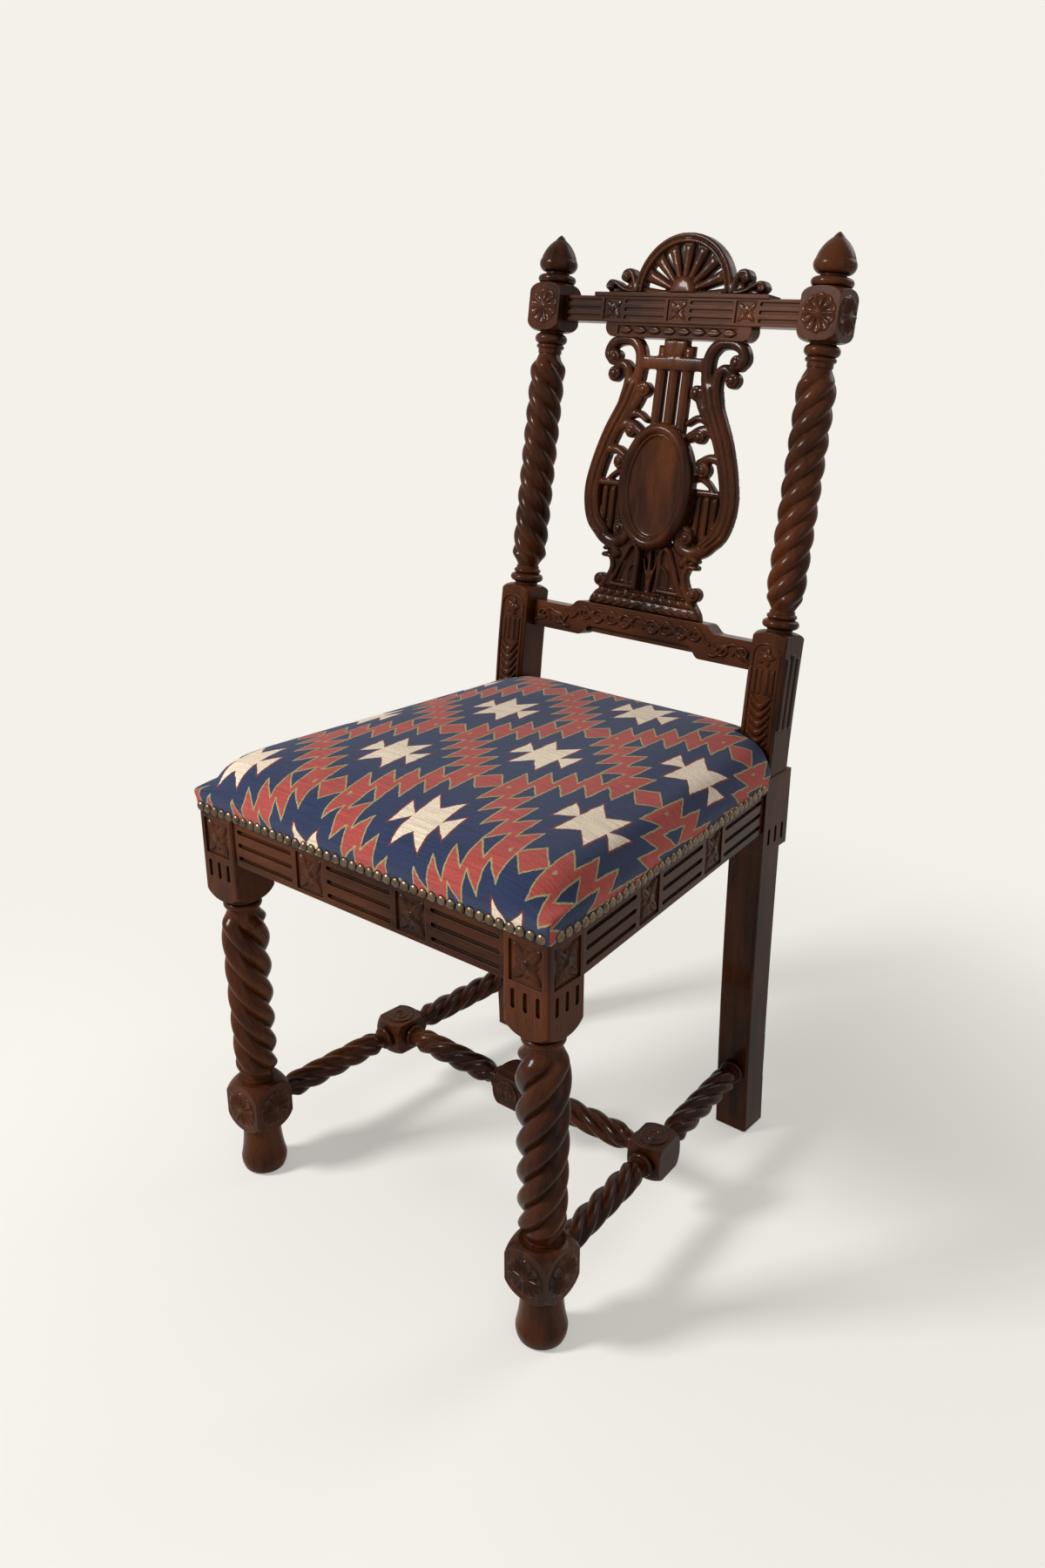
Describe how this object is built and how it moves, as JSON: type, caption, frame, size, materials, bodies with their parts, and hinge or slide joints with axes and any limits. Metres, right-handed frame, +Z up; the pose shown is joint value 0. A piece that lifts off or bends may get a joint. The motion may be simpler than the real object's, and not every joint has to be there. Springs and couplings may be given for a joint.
{
  "type": "barley twist side chair",
  "caption": "Carved wooden side chair with rope-twist legs, posts and stretchers, pierced lyre back, fan cresting and a close-nailed stuffed seat in flat-woven fabric.",
  "frame": {"origin": "on the floor, under the middle of the chair's overall box", "axes": "+Z up, +Y from the front of the seat to the back, +X to the right as seen from the front"},
  "size_m": [0.471, 0.5431, 0.9995],
  "materials": {
    "walnut": "dark reddish-brown stain under a satin-gloss varnish",
    "raw_wood": "unfinished",
    "kilim_cover": "flat-woven wool with a serrated diamond pattern",
    "stuffing": "hair and felt stuffing",
    "webbing": "jute webbing",
    "hessian": "jute hessian",
    "dust_cloth": "black calico",
    "brass": "antiqued brass, worn high spots",
    "steel": "plain steel screw",
    "glide": "dark felt-like pad"
  },
  "bodies": {
    "root": {"corner_block_screws": "steel", "corner_blocks": "raw_wood", "crest_rail": "walnut", "cross_stretcher": "walnut", "dust_cover": "dust_cloth", "fan_cresting": "walnut", "finial_left": "walnut", "finial_right": "walnut", "foot_glides": "glide", "front_leg_left": "walnut", "front_leg_right": "walnut", "front_seat_rail": "walnut", "hessian": "hessian", "lower_back_rail": "walnut", "lyre_splat": "walnut", "oval_medallion": "walnut", "rear_post_left": "walnut", "rear_post_right": "walnut", "rear_seat_rail": "walnut", "seat_cover": "kilim_cover", "seat_pad": "stuffing", "side_seat_rail_left": "walnut", "side_seat_rail_right": "walnut", "side_stretcher_left": "walnut", "side_stretcher_right": "walnut", "upholstery_nails_front": "brass", "upholstery_nails_left": "brass", "upholstery_nails_right": "brass", "webbing_crosswise": "webbing", "webbing_lengthwise": "webbing"}
  },
  "joints": []
}
